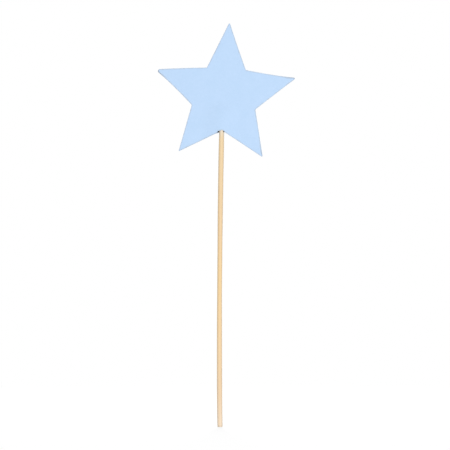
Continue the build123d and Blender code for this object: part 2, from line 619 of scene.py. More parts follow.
@dataclass(frozen=True)
class BambooFinish:
    """Dry machined bamboo, which drifts in tone along the stick."""

    spot: Spot
    name: str = "bamboo_side"
    seed: float = 3.7
    tones: tuple[tuple[float, Tint], ...] = (
        (0.0, (246, 225, 200)),
        (0.1, (241, 213, 180)),
        (0.3, (245, 214, 170)),
        (0.5, (247, 215, 162)),
        (0.65, (242, 211, 168)),
        (0.97, (242, 216, 174)),
        (1.0, (240, 228, 208)),
    )
    bundle: Tint = (238, 206, 158)
    line: Tint = (196, 154, 102)
    soiled: Tint = (212, 194, 168)
    bundle_share: float = 0.35
    line_share: float = 0.4
    soil_share: float = 0.6
    fibre: float = 0.16 * MM
    stretch: float = 60.0
    patch: float = 6.4 * MM
    edge_patch: float = 0.64 * MM
    relief: float = 0.05 * MM
    relief_strength: float = 0.6
    rough: float = 0.52
    rough_drift: float = 0.15
    gloss: float = 0.35

    def material(self, height: float) -> bpy.types.Material:
        """Builds the material: tone along the length, fibre bundles, dark lines, a painted shadow and
        relief.

        Args:
            height: Height over which the tones run.

        Returns:
            The material for the side of the stick.
        """
        material, wiring, shader = new_material(self.name)
        up = wiring.add("ShaderNodeSeparateXYZ", {0: wiring.place()}).outputs["Z"]
        ramp = wiring.add("ShaderNodeValToRGB", {0: wiring.maths("DIVIDE", up, height)})
        stops = ramp.color_ramp.elements
        ready = len(stops)
        for index, (share, tint) in enumerate(self.tones):
            stop = stops[index] if index < ready else stops.new(share)
            stop.position = share
            stop.color = linear(tint)
        grown = {"fibre_width": self.fibre, "stretch": self.stretch, "seed": self.seed}
        fibre = wiring.effect(Effect.FIBRE, **grown)
        mottle = wiring.effect(Effect.MOTTLE, patch_size=self.patch, seed=self.seed)["Mask"]
        worn = {"rim": wiring.rim(), "patch_size": self.edge_patch, "seed": self.seed}
        rim_mask = wiring.effect(Effect.RUB, **worn)["Mask"]
        tone = ramp.outputs["Color"]
        banded = wiring.tinge(tone, self.bundle, fibre["Bundles"], self.bundle_share)
        lined = wiring.tinge(banded, self.line, fibre["Lines"], self.line_share)
        soiled = wiring.tinge(lined, self.soiled, rim_mask, self.soil_share)
        # The spot is a painted shadow of the front card's edge on the stick.
        wiring.feed(shader, {
            "Base Color": self.spot.over(wiring, soiled),
            "Roughness": wiring.maths("MULTIPLY_ADD", mottle, self.rough_drift, self.rough),
            "Normal": wiring.bump(fibre["Height"], self.relief, self.relief_strength),
            "Specular IOR Level": self.gloss,
        })
        return material


@dataclass(frozen=True)
class EndGrainFinish:
    """The sawn end of the stick, with the dark ends of its fibre bundles."""

    name: str = "bamboo_end_grain"
    seed: float = 8.3
    pith: Tint = (236, 208, 166)
    pore: Tint = (150, 108, 66)
    pore_share: float = 0.7
    pore_size: float = 0.22 * MM
    pore_span: Span = (0.12, 0.4)
    grain: float = 0.11 * MM
    relief: float = 0.06 * MM
    relief_strength: float = 1.0
    rough: float = 0.85
    gloss: float = 0.2

    def material(self) -> bpy.types.Material:
        """Builds the material: pale pith with pores and a sawn roughness.

        Returns:
            The material for the sawn end of the stick.
        """
        material, wiring, shader = new_material(self.name)
        inputs = {"Vector": wiring.place(), "Scale": 1 / self.pore_size}
        cells = wiring.add("ShaderNodeTexVoronoi", inputs).outputs["Distance"]
        pores = wiring.maths("SUBTRACT", 1.0, wiring.span(cells, *self.pore_span))
        tooth = wiring.effect(Effect.TOOTH, grain_size=self.grain, seed=self.seed)["Height"]
        height = wiring.maths("SUBTRACT", tooth, pores)
        wiring.feed(shader, {
            "Base Color": wiring.tinge(linear(self.pith), self.pore, pores, self.pore_share),
            "Normal": wiring.bump(height, self.relief, self.relief_strength),
            "Roughness": self.rough,
            "Specular IOR Level": self.gloss,
        })
        return material


@dataclass(frozen=True)
class GlueFinish:
    """Set craft glue, milky and slightly glossy."""

    name: str = "set_glue"
    seed: float = 5.1
    clear: Tint = (238, 234, 222)
    milky: Tint = (226, 220, 204)
    patch: float = 1.5 * MM
    rough: float = 0.3
    rough_drift: float = 0.2
    depth_share: float = 0.2
    depth_reach: float = 0.5 * MM

    def material(self) -> bpy.types.Material:
        """Builds the material: milky patches over a soft body.

        Returns:
            The material for the film and the beads.
        """
        material, wiring, shader = new_material(self.name)
        mottle = wiring.effect(Effect.MOTTLE, patch_size=self.patch, seed=self.seed)["Mask"]
        wiring.feed(shader, {
            "Base Color": wiring.mix(mottle, linear(self.clear), linear(self.milky)),
            "Roughness": wiring.maths("MULTIPLY_ADD", mottle, self.rough_drift, self.rough),
            "Subsurface Weight": self.depth_share,
            "Subsurface Scale": self.depth_reach,
        })
        return material


@dataclass(frozen=True)
class StickRoute:
    """The line along the stick's middle: straight, then bowed, then straight between the cards."""

    straight: float = 60.0 * MM
    bowed: float = 89.5 * MM
    tucked: float = 8.5 * MM
    lean: float = math.radians(1.3)
    sway: float = -0.13 * MM
    sway_length: float = 85.0 * MM
    kick: float = 0.14 * MM
    kick_length: float = 16.0 * MM

    @property
    def length(self) -> float:
        """Length of the whole stick."""
        return self.straight + self.bowed + self.tucked

    @property
    def entry_length(self) -> float:
        """Length of the stick below the star."""
        return self.straight + self.bowed

    def heading(self, along: float) -> float:
        """Lean of the stick at a length from its lower end."""
        return self.lean * min(max((along - self.straight) / self.bowed, 0.0), 1.0)

    def point(self, along: float) -> Vector:
        """Middle of the stick at a length from its lower end.

        Args:
            along: Length from the lower end.

        Returns:
            The point, in the upright plane at zero depth.
        """
        radius = self.bowed / self.lean
        turn = self.heading(along)
        past = max(along - self.entry_length, 0.0)
        x = radius * (1 - math.cos(turn)) + past * math.sin(turn)
        z = min(along, self.straight) + radius * math.sin(turn) + past * math.cos(turn)
        if along < self.sway_length:
            x += self.sway * math.sin(math.pi * along / self.sway_length)
        x += self.kick * max(1.0 - along / self.kick_length, 0.0) ** 2
        return Vector((x, 0.0, z))

    def across_up(self, point: Vector) -> tuple[float, float]:
        """Place of a point beside the tucked stick.

        Args:
            point: A point of the star.

        Returns:
            Its distance to the right of the stick and its height above the stick's entry.
        """
        offset = point - self.point(self.entry_length)
        sine, cosine = math.sin(self.lean), math.cos(self.lean)
        return offset.x * cosine - offset.z * sine, offset.x * sine + offset.z * cosine

    def beside(self, across: float, up: float) -> Vector:
        """A point beside the tucked stick.

        Args:
            across: Its distance to the right of the stick.
            up: Its height above the stick's entry.

        Returns:
            The point, in the upright plane at zero depth.
        """
        sine, cosine = math.sin(self.lean), math.cos(self.lean)
        offset = Vector((across * cosine + up * sine, 0.0, up * cosine - across * sine))
        return self.point(self.entry_length) + offset


@dataclass(frozen=True)
class Nick:
    """A slip of the blade in a card's edge beside the stick, where it cut too deep or too shallow."""

    depth_stops: Stops
    height: float = 3.0 * MM

    def depth(self, across: float, up: float) -> float:
        """Depth of the nick at a place beside the stick's entry."""
        return read_stops(self.depth_stops, across) if abs(up) < self.height else 0.0


@dataclass(frozen=True)
class StarShape:
    """Outline of a star card. Each arm was cut by hand, so no two are quite alike."""

    route: StickRoute
    span: float = 70.0 * MM
    core_radius: float = 17.0 * MM
    tip_round: float = 0.35 * MM
    corner_round: float = 0.25 * MM
    edge_hollow: float = 0.45 * MM
    tilt: float = 3.8
    notch_offset: float = 0.2 * MM
    tip_reach_shares: Row = (1.016, 1.018, 0.99, 0.984, 1.019)
    tip_round_shares: Row = (1.15, 1.45, 1.0, 0.5, 2.75)
    tip_hollow_shares: Row = (0.35, 0.25, 0.0, 0.0, -0.3)
    tip_swings: Row = (0.24, 0.12, 0.2, -0.1, -0.74)
    corner_reach_shares: Row = (1.002, 1.0, 1.02, 1.004, 0.992)
    corner_round_shares: Row = (2.0, 3.5, 1.0, 3.0, 1.0)
    corner_hollow_shares: Row = (0.75, 0.0, 0.0, 1.0, 0.0)
    corner_swings: Row = (-0.38, 1.65, 0.0, -1.14, 0.5)
    notch: int = 2
    edge_step: float = 0.8 * MM
    notch_step: float = 0.15 * MM
    notch_reach: float = 6.0 * MM
    arc_steps: int = 12
    cut_waver: float = 0.015 * MM
    cut_waver_size: float = 2.5 * MM

    @property
    def arms(self) -> int:
        """Number of arms."""
        return len(self.tip_reach_shares)

    @property
    def arm_step(self) -> float:
        """Turn from one arm to the next, in degrees."""
        return DEGREES_ROUND / self.arms

    @property
    def tip_radius(self) -> float:
        """Reach of a regular arm from the centre."""
        return self.span / 2 / math.sin(math.radians(self.arm_step))

    @property
    def centre(self) -> Vector:
        """Middle of the star, set by where its notch sits on the stick."""
        reach = self.core_radius * self.corner_reach_shares[self.notch]
        return self.route.beside(self.notch_offset, 0.0) + self.spoke(reach, self.tilt)

    @staticmethod
    def spoke(reach: float, turn: float) -> Vector:
        """Vector of a given reach, turned clockwise from straight up in degrees."""
        angle = math.radians(turn)
        return Vector((reach * math.sin(angle), 0.0, reach * math.cos(angle)))

    def arm_at(self, point: Vector) -> int:
        """Finds the arm that a point lies in.

        Args:
            point: A point of the star.

        Returns:
            The arm's number, clockwise from 0 for the upper one.
        """
        offset = point - self.centre
        turn = math.degrees(math.atan2(offset.x, offset.z)) - self.tilt
        return round(turn / self.arm_step) % self.arms

    def corners(self, skew: float) -> Corners:
        """Sharp corners of the outline, clockwise from the upper tip.

        Args:
            skew: Anticlockwise turn of the card about its centre, in degrees.

        Returns:
            Each corner, its rounding radius and the hollow of the edge that follows.
        """
        found = []
        for arm in range(self.arms):
            turn = self.tilt - skew + arm * self.arm_step
            tip_reach = self.tip_radius * self.tip_reach_shares[arm]
            tip = self.centre + self.spoke(tip_reach, turn + self.tip_swings[arm])
            tip_round = self.tip_round * self.tip_round_shares[arm]
            found.append((tip, tip_round, self.edge_hollow * self.tip_hollow_shares[arm]))
            corner_reach = self.core_radius * self.corner_reach_shares[arm]
            corner_turn = turn + self.arm_step / 2 + self.corner_swings[arm]
            corner = self.centre + self.spoke(corner_reach, corner_turn)
            corner_round = self.corner_round * self.corner_round_shares[arm]
            found.append((corner, corner_round, self.edge_hollow * self.corner_hollow_shares[arm]))
        return found

    def outline(self, skew: float, seed: float, nick: Nick | None = None) -> Loop:
        """Points along the cut edge, clockwise, closer together round the corners.

        Args:
            skew: Anticlockwise turn of the card about its centre, in degrees.
            seed: Sets the slight waver of the cut.
            nick: A slip of the blade, if the card has one.

        Returns:
            The outline at zero depth.
        """
        corners = self.corners(skew)
        arcs = [self.arc_points(corners, index) for index in range(len(corners))]
        points: Loop = []
        for index, (corner, _, hollow) in enumerate(corners):
            ahead = (index + 1) % len(corners)
            start, finish = arcs[index][-1], arcs[ahead][0]
            share = (finish - start).length / (corners[ahead][0] - corner).length
            points += arcs[index] + self.cut_points(start, finish, hollow * share**2)
        offs = [ripple(point, self.cut_waver_size, seed) * self.cut_waver for point in points]
        if nick:
            nicks = (nick.depth(*self.route.across_up(point)) for point in points)
            offs = [off - depth for off, depth in zip(offs, nicks)]
        return [point + outward(points, index) * offs[index] for index, point in enumerate(points)]

    def arc_points(self, corners: Corners, index: int) -> Loop:
        """Points round one rounded corner.

        Args:
            corners: All the sharp corners, as corners() gives them.
            index: Which of them.

        Returns:
            The points, from the end of the cut before to the start of the one that follows.
        """
        corner, radius, hollow = corners[index]
        before, _, hollow_before = corners[index - 1]
        back = self.heading(corner, before, -hollow_before)
        ahead = self.heading(corner, corners[(index + 1) % len(corners)][0], hollow)
        half = back.angle(ahead) / 2
        middle = corner + (back + ahead).normalized() * radius / math.sin(half)
        start = corner + back * radius / math.tan(half)
        finish = corner + ahead * radius / math.tan(half)
        points = []
        for step in range(self.arc_steps + 1):
            ray = (start - middle).lerp(finish - middle, step / self.arc_steps).normalized()
            points.append(middle + ray * radius)
        return points

    @staticmethod
    def heading(start: Vector, finish: Vector, hollow: float) -> Vector:
        """Direction in which a cut leaves one of its ends.

        Args:
            start: The end that it leaves.
            finish: Its other end.
            hollow: How far its middle lies to the right of a straight cut.

        Returns:
            A vector of length one.
        """
        run = finish - start
        left = Vector((-run.z, 0.0, run.x)).normalized()
        return (run - left * BOW_SLOPE * hollow).normalized()

    def cut_points(self, start: Vector, finish: Vector, hollow: float) -> Loop:
        """Points between the two ends of a cut, closer together near the notch.

        Args:
            start: One end of the cut.
            finish: Its other end.
            hollow: How far its middle lies to the right of a straight cut.

        Returns:
            The points, without the two ends.
        """
        run = finish - start
        left = Vector((-run.z, 0.0, run.x)).normalized()
        entry = self.route.beside(0.0, 0.0)
        points: Loop = []
        along = 0.0
        while True:
            near = (start + run * along / run.length - entry).length / self.notch_reach
            along += self.notch_step + (self.edge_step - self.notch_step) * ease(near)
            if along > run.length - self.notch_step / 2:
                return points
            share = along / run.length
            bow = left * hollow * BOW_SLOPE * share * (1.0 - share)
            points.append(start + run * share - bow)


@dataclass(frozen=True)
class CardForm:
    """How the glued cards are formed: a ridge over the stick, and arms that curl a little."""

    route: StickRoute
    shape: StarShape
    stick_radius: float
    film_half: float
    ridge_half_width: float = 10.2 * MM
    ridge_run_out: float = 6.5 * MM
    ridge_clearance: float = 0.03 * MM
    arm_curls: Row = (0.25 * MM, -0.3 * MM, 0.1 * MM, -0.2 * MM, 0.4 * MM)

    def standoff(self, point: Vector) -> float:
        """Distance of the cards' inner faces from their middle plane.

        Args:
            point: A point of the star.

        Returns:
            The glue film's half thickness on the flats, more over the stick.
        """
        across, up = self.route.across_up(point)
        bend = 1.0 - ease(abs(across) / self.ridge_half_width)
        fade = 1.0 - ease((up - self.route.tucked) / self.ridge_run_out)
        rise = self.stick_radius + self.ridge_clearance - self.film_half
        return self.film_half + rise * bend * fade

    def curl(self, point: Vector) -> float:
        """Depth by which an arm curls away from the flat.

        Args:
            point: A point of the star.

        Returns:
            The depth, which is none in the middle and grows towards the tip.
        """
        reach = (point - self.shape.centre).length
        room = self.shape.tip_radius - self.shape.core_radius
        share = max(reach - self.shape.core_radius, 0.0) / room
        return self.arm_curls[self.shape.arm_at(point)] * share * share

    def placed(self, point: Vector, side: Side, lift: float) -> Vector:
        """A point of the star at its depth.

        Args:
            point: The point in the upright plane.
            side: Front or back of the middle plane.
            lift: Distance outside the card's inner face.

        Returns:
            The point on the formed card.
        """
        depth = side.value * (self.standoff(point) + lift) + self.curl(point)
        return Vector((point.x, depth, point.z))


@dataclass
class StarCard:
    """One of the two star cards, a thin closed sheet with softened cut edges."""

    name: str
    node: str
    slot: str
    side: Side
    form: CardForm
    face: CardFinish
    edge: CutEdgeFinish
    inside: bpy.types.Material
    nick: Nick
    skew: float
    thickness: float
    rings: int = 36
    ring_crowding: float = 0.75
    edge_soft: float = 0.05 * MM
    edge_shares: Row = (0.12, 0.3, 0.5, 0.7, 0.88)
    # Painted shade along the cut edge reaches this far in.
    rim_reach: float = 1.2 * MM
    # The deeper painted shade reaches this far from a tip.
    tip_shade_reach: float = 9.0 * MM
    # Share of the painted tip shade for each arm, on the edge before its tip and the edge after it,
    # clockwise.
    tip_shade_shares: tuple[tuple[float, float], ...] = (
        (0.1, 0.1),
        (0.8, 0.25),
        (0.6, 0.1),
        (0.1, 0.1),
        (1.0, 0.3),
    )

    def build(self) -> bpy.types.Object:
        """Builds, dresses and places the card.

        Returns:
            The finished piece.
        """
        outline = self.form.shape.outline(self.skew, self.face.seed, self.nick)
        count = len(outline)
        normals = [outward(outline, index) for index in range(count)]
        pulled = [point - normal * self.edge_soft for point, normal in zip(outline, normals)]
        shares = [(ring / self.rings) ** self.ring_crowding for ring in range(1, self.rings + 1)]
        outer = [self.ring(pulled, share, self.thickness) for share in shares]
        cut = [self.ring(outline, 1.0, self.thickness * (1 - share)) for share in self.edge_shares]
        inner = [self.ring(pulled, share, 0.0) for share in reversed(shares)]
        centre = self.form.shape.centre
        start = self.form.placed(centre, self.side, self.thickness)
        end = self.form.placed(centre, self.side, 0.0)
        piece = loft(self.name, [*outer, *cut, *inner], start, end)
        nearness = [self.rim_share(outline, normals, share) for share in shares]
        rim = [0.0, *(value for row in nearness for value in row)]
        rim += [1.0] * count * len(cut)
        rim += [*(value for row in reversed(nearness) for value in row), 0.0]
        mark_rim(piece, rim)
        self.dress(piece, count)
        return piece

    def ring(self, outline: Loop, share: float, lift: float) -> Loop:
        """One loop of the sheet, the outline drawn in towards the star's centre.

        Args:
            outline: The outline at zero depth.
            share: How far out the loop lies, from 0 at the centre to 1 at the edge.
            lift: Distance outside the card's inner face.

        Returns:
            The loop on the formed card.
        """
        centre = self.form.shape.centre
        drawn = (centre.lerp(point, share) for point in outline)
        return [self.form.placed(point, self.side, lift) for point in drawn]

    def rim_share(self, outline: Loop, normals: Loop, share: float) -> list[float]:
        """How near each point of a ring is to the cut edge.

        Args:
            outline: The card's outline.
            normals: Outward directions of its points.
            share: How far out the ring lies, from 0 at the centre to 1 at the edge.

        Returns:
            A value for each point, from 0 inside to 1 at the edge and 2 where the painted tip shade
            is full.
        """
        centre = self.form.shape.centre
        values = []
        for point, normal in zip(outline, normals):
            gap = (point - centre).dot(normal) * (1 - share)
            values.append(max(1.0 - gap / self.rim_reach, 0.0) * (1.0 + self.tip_shade(point, normal)))
        return values

    def tip_shade(self, point: Vector, normal: Vector) -> float:
        """How much painted shade lies at a point of the cut edge, where the gap between the cards is
        in shade, most near some tips.

        Args:
            point: A point of the outline.
            normal: Its outward direction.

        Returns:
            A share from 0 to 1.
        """
        shape = self.form.shape
        arm = shape.arm_at(point)
        reach = shape.tip_radius * shape.tip_reach_shares[arm]
        spoke = shape.spoke(reach, shape.tilt + arm * shape.arm_step)
        before, after = self.tip_shade_shares[arm]
        faces_ahead = spoke.z * normal.x - spoke.x * normal.z >= 0.0
        near = 1.0 - ease((shape.centre + spoke - point).length / self.tip_shade_reach)
        return near * (after if faces_ahead else before)

    def dress(self, piece: bpy.types.Object, count: int) -> None:
        """Gives the faces and the cut edge their finishes and ties the piece to the frame.

        Args:
            piece: The new card.
            count: Points in each of its rings.
        """
        for material in (self.face.material(), self.edge.material(), self.inside):
            piece.data.materials.append(material)
        first = count * self.rings
        last = first + count * (len(self.edge_shares) + 1)
        for polygon in piece.data.polygons[first:]:
            part = CardFace.EDGE if polygon.index < last else CardFace.INNER
            polygon.material_index = part.value
        tie(piece, self.node)


@dataclass
class BambooStick:
    """The bamboo stick: slightly bowed, not quite round or even, with a sawn lower end."""

    route: StickRoute
    radius: float
    side_finish: BambooFinish
    end_finish: EndGrainFinish
    name: str = "bamboo_stick"
    node: str = "stick"
    slot: str = "bamboo"
    sides: int = 56
    ring_step: float = 1.2 * MM
    width_stops: Stops = (
        (0.0, 1.035),
        (14.0 * MM, 1.048),
        (29.0 * MM, 1.034),
        (49.0 * MM, 1.006),
        (69.0 * MM, 0.94),
        (89.0 * MM, 0.962),
        (109.0 * MM, 1.025),
        (125.0 * MM, 1.035),
        (138.0 * MM, 1.06),
        (149.0 * MM, 1.0),
    )
    flat_shares: Row = (0.012, 0.007, 0.004)
    fewest_flats: int = 2
    flat_turn: float = 1.7
    groove: float = 0.014 * MM
    groove_size: float = 0.35 * MM
    groove_stretch: float = 90.0
    groove_seed: float = 2.0
    end_soft: float = 0.1 * MM
    end_ring_shares: Row = (0.9, 0.72, 0.5, 0.25)
    saw_relief: float = 0.05 * MM
    saw_seed: float = 6.0
    shave_depth: float = 0.06 * MM
    shave_length: float = 3.0 * MM
    soil_length: float = 2.5 * MM

    def build(self) -> bpy.types.Object:
        """Builds, dresses and places the stick.

        Returns:
            The finished piece.
        """
        run = self.route.length - self.end_soft
        count = math.ceil(run / self.ring_step)
        places = [self.end_soft + run * step / count for step in range(count + 1)]
        sawn = [self.sawn_ring(share) for share in reversed(self.end_ring_shares)]
        rings = [self.ring(place) for place in places]
        start = self.route.point(0.0) + Vector((0.0, 0.0, self.saw_relief / 2))
        piece = loft(self.name, [*sawn, *rings], start, self.route.point(self.route.length))
        darkening = [1.0] * (1 + self.sides * len(sawn))
        for place in places:
            darkening += [max(1.0 - place / self.soil_length, 0.0)] * self.sides
        mark_rim(piece, [*darkening, 0.0])
        self.dress(piece, len(sawn))
        return piece

    def ring(self, along: float) -> Loop:
        """One loop round the stick.

        Args:
            along: Length from the lower end.

        Returns:
            The loop, square to the stick, from its right side round by the back.
        """
        middle = self.route.point(along)
        turn = self.route.heading(along)
        right = Vector((math.cos(turn), 0.0, -math.sin(turn)))
        back = Vector((0.0, 1.0, 0.0))
        width = read_stops(self.width_stops, along)
        shave = self.shave_depth * max(1.0 - along / self.shave_length, 0.0)
        loop = []
        for step in range(self.sides):
            angle = 2 * math.pi * step / self.sides
            reach = self.reach(along, angle)
            across = max(reach * math.cos(angle) * width, shave - self.radius * width)
            loop.append(middle + right * across + back * reach * math.sin(angle))
        return loop

    def reach(self, along: float, angle: float) -> float:
        """Distance from the stick's middle to its surface.

        Args:
            along: Length from the lower end.
            angle: Angle round the stick, from its right side.

        Returns:
            The radius there, with the stick's flats and grooves.
        """
        twist = along / self.route.length
        flats = sum(
            share * math.cos((order + self.fewest_flats) * angle + order * self.flat_turn + twist)
            for order, share in enumerate(self.flat_shares)
        )
        rim = Vector((math.cos(angle), math.sin(angle), 0.0)) * self.radius
        rim.z = along / self.groove_stretch
        groove = self.groove * ripple(rim, self.groove_size, self.groove_seed)
        return self.radius * (1 + flats) + groove

    def sawn_ring(self, share: float) -> Loop:
        """One loop of the sawn end.

        Args:
            share: How far out it lies, from 0 at the middle to 1 at the edge.

        Returns:
            The loop, as rough as the saw left it.
        """
        middle = self.route.point(0.0)
        loop = []
        for point in self.ring(0.0):
            inner = middle.lerp(point, share)
            rough = (1 + ripple(inner, self.groove_size, self.saw_seed)) / 2
            loop.append(inner + Vector((0.0, 0.0, self.saw_relief * rough)))
        return loop

    def dress(self, piece: bpy.types.Object, sawn_rows: int) -> None:
        """Gives the side and the sawn end their finishes and ties the piece to the frame.

        Args:
            piece: The new stick.
            sawn_rows: Number of rings on its sawn end.
        """
        piece.data.materials.append(self.side_finish.material(self.route.entry_length))
        piece.data.materials.append(self.end_finish.material())
        for polygon in piece.data.polygons[: self.sides * sawn_rows]:
            polygon.material_index = StickFace.SAWN.value
        tie(piece, self.node)


@dataclass
class GlueJoint:
    """The glue inside: a film between the cards and a bead on each side of the tucked stick."""

    form: CardForm
    stick: BambooStick
    finish: GlueFinish
    slot: str = "glue"
    skin: float = 0.004 * MM
    film_name: str = "glue_film"
    film_node: str = "glue_layer"
    film_setback: float = 1.2 * MM
    film_share: float = 0.915
    film_waver: float = 0.35 * MM
    film_waver_size: float = 5.0 * MM
    film_steps: int = 12
    film_spread: float = 0.15
    film_squareness: float = 6.0
    bead_name: str = "glue_bead"
    bead_node: str = "stick_glue"
    bead_setback: float = 1.5 * MM
    bead_reach: float = 2.7 * MM
    bead_waver: float = 0.4 * MM
    bead_waver_size: float = 3.0 * MM
    bead_skin: float = 0.01 * MM
    bead_rows: int = 24
    bead_steps: int = 16
    bead_grip: float = math.radians(48)
    bead_dip: float = 0.3
    bead_end: float = 0.5 * MM
    bead_end_share: float = 1.45
    bead_taper: float = 2.0 * MM

    def build(self) -> list[bpy.types.Object]:
        """Builds, dresses and places the film and the two beads.

        Returns:
            The finished pieces.
        """
        material = self.finish.material()
        film = self.film()
        beads = [self.bead(hand) for hand in Hand]
        for piece in (film, *beads):
            piece.data.materials.append(material)
        tie(film, self.film_node)
        for bead in beads:
            tie(bead, self.bead_node)
        return [film, *beads]

    def film(self) -> bpy.types.Object:
        """A thin horseshoe of glue, from one side of the notch round to the other.

        Returns:
            The film, clear of the cards' edges and of the ridge.
        """
        route, centre = self.form.route, self.form.shape.centre
        outline = self.form.shape.outline(0.0, self.finish.seed)
        entry = route.beside(0.0, 0.0)
        notch = min(range(len(outline)), key=lambda index: (outline[index] - entry).length)
        edges = [centre.lerp(point, self.film_share) for point in outline[notch:] + outline[:notch]]
        side = self.form.ridge_half_width + self.film_setback / 2
        kept = [edge for edge in edges if not self.in_mouth(edge, side)]
        foot = max(route.across_up(edge)[1] for edge in (kept[0], kept[-1])) + self.film_setback
        turns = [self.facing_turn(edge, side, foot) for edge in kept]
        loops = []
        for step, edge in enumerate(kept):
            even = turns[0] + (turns[-1] - turns[0]) * step / (len(kept) - 1)
            turn = turns[step] + (even - turns[step]) * self.film_spread
            channel = self.channel_point(turn, side)
            wave = ripple(edge, self.film_waver_size, self.finish.seed) * self.film_waver
            towards = (channel - edge).normalized()
            loops.append(self.film_loop(edge + towards * abs(wave), channel))
        ends = [sum(loop, Vector()) / len(loop) for loop in (loops[0], loops[-1])]
        return loft(self.film_name, loops, *ends)

    def in_mouth(self, edge: Vector, side: float) -> bool:
        """Whether a point near the cut edge lies in the mouth of a channel of a given half width."""
        across, up = self.form.route.across_up(edge)
        return up < self.form.route.tucked / 2 and abs(across) < side + self.film_setback / 2

    def facing_turn(self, edge: Vector, side: float, foot: float) -> float:
        """How far round the channel, from its top, a point near the cards' edge is faced.

        Args:
            edge: A point near the cut edge.
            side: Half width of the channel.
            foot: Height of the channel's lower end above the stick's entry.

        Returns:
            The turn, to the right of the top, and past a quarter turn on the straight sides.
        """
        across, up = self.form.route.across_up(edge)
        heart = self.form.route.tucked / 2
        if up > heart:
            return math.atan2(across, up - heart)
        return math.copysign(QUARTER_TURN + (heart - max(up, foot)) / side, across)

    def channel_point(self, turn: float, side: float) -> Vector:
        """A point on the foot of the ridge.

        Args:
            turn: How far round the channel it lies, from the top.
            side: Half width of the channel.

        Returns:
            The point, on the channel's blunt head or on one of its straight sides.
        """
        route = self.form.route
        heart = route.tucked / 2
        past = abs(turn) - QUARTER_TURN
        if past >= 0.0:
            return route.beside(math.copysign(side, turn), heart - past * side)
        head = route.tucked + self.form.ridge_run_out + self.film_setback / 2 - heart
        sine, cosine = math.sin(turn), math.cos(turn)
        power = self.film_squareness
        reach = ((abs(sine) / side) ** power + (cosine / head) ** power) ** (-1.0 / power)
        return route.beside(reach * sine, heart + reach * cosine)

    def film_loop(self, edge: Vector, channel: Vector) -> Loop:
        """Section of the film.

        Args:
            edge: Its end near the cards' edge.
            channel: Its end at the foot of the ridge.

        Returns:
            The section, out along the front card and back along the other.
        """
        out = [channel.lerp(edge, step / self.film_steps) for step in range(self.film_steps + 1)]
        front = [self.form.placed(point, Side.FRONT, -self.skin) for point in out]
        back = [self.form.placed(point, Side.BACK, -self.skin) for point in reversed(out)]
        return front + back

    def bead(self, hand: Hand) -> bpy.types.Object:
        """One bead of glue in the channel beside the stick.

        Args:
            hand: Which side of the stick.

        Returns:
            The bead.
        """
        route = self.form.route
        low, high = self.bead_setback, route.tucked - self.bead_setback
        ups = [low + (high - low) * row / self.bead_rows for row in range(self.bead_rows + 1)]
        loops = [self.bead_loop(hand, up, self.bead_width(hand, up, low, high)) for up in ups]
        middle = hand.value * (self.stick.radius + self.bead_reach) / 2
        start = route.beside(middle, low - self.bead_end / 2)
        end = route.beside(middle, high + self.bead_end / 2)
        return loft(f"{self.bead_name}_{hand.name.lower()}", loops, start, end)

    def bead_width(self, hand: Hand, up: float, low: float, high: float) -> float:
        """Reach of a bead from the stick's middle.

        Args:
            hand: Which side of the stick.
            up: Height above the stick's entry.
            low: Height of the bead's lower end.
            high: Height of its upper end.

        Returns:
            The reach, uneven, and less towards the two ends.
        """
        place = Vector((float(hand.value), 0.0, up))
        waver = self.bead_waver * ripple(place, self.bead_waver_size, self.finish.seed)
        full = self.bead_reach + waver
        narrow = self.stick.radius * self.bead_end_share
        return narrow + (full - narrow) * ease(min(up - low, high - up) / self.bead_taper)

    def bead_loop(self, hand: Hand, up: float, width: float) -> Loop:
        """Section of a bead.

        Args:
            hand: Which side of the stick.
            up: Height above the stick's entry.
            width: Reach of the bead from the stick's middle.

        Returns:
            The section, along one card, its hollow outer face, the other card and the stick.
        """
        route = self.form.route
        inner, along_card, hollow = [], [], []
        for step in range(self.bead_steps + 1):
            angle = self.bead_grip * (1 - 2 * step / self.bead_steps)
            round_stick = angle if hand is Hand.RIGHT else math.pi - angle
            radius = self.stick.reach(route.entry_length + up, round_stick) + self.bead_skin
            inner.append((radius * math.cos(angle), radius * math.sin(angle)))
        near = inner[0][0]
        for step in range(self.bead_steps + 1):
            across = near + (width - near) * step / self.bead_steps
            point = route.beside(hand.value * across, up)
            along_card.append((across, self.form.standoff(point) - self.skin))
        half = along_card[-1][1]
        for step in range(1, self.bead_steps):
            share = step / self.bead_steps
            dip = self.bead_dip * half * math.sin(math.pi * share)
            hollow.append((width - dip, half * (2 * share - 1)))
        section = [(across, -depth) for across, depth in along_card]
        section += hollow + along_card[::-1] + inner
        loop = []
        for across, depth in section:
            point = route.beside(hand.value * across, up)
            loop.append(Vector((point.x, depth, point.z)))
        return loop


class LampRole(Enum):
    """What a lamp is for."""

    KEY = "key_lamp"
    BACK = "back_lamp"


@dataclass(frozen=True)
class SoftLamp:
    """A large soft lamp that looks at the star."""

    role: LampRole
    place: tuple[float, float, float]
    size: float
    power: float

    def build(self, target: Vector) -> bpy.types.Object:
        """Adds the lamp.

        Args:
            target: The point that it faces.

        Returns:
            The lamp.
        """
        data = bpy.data.lights.new(self.role.value, "AREA")
        data.shape = "DISK"
        data.size = self.size
        data.energy = self.power
        lamp = bpy.data.objects.new(self.role.value, data)
        lamp.location = self.place
        lamp.rotation_mode = "QUATERNION"
        lamp.rotation_quaternion = (target - lamp.location).to_track_quat("-Z", "Y")
        lamp.visible_camera = False
        bpy.context.scene.collection.objects.link(lamp)
        return lamp


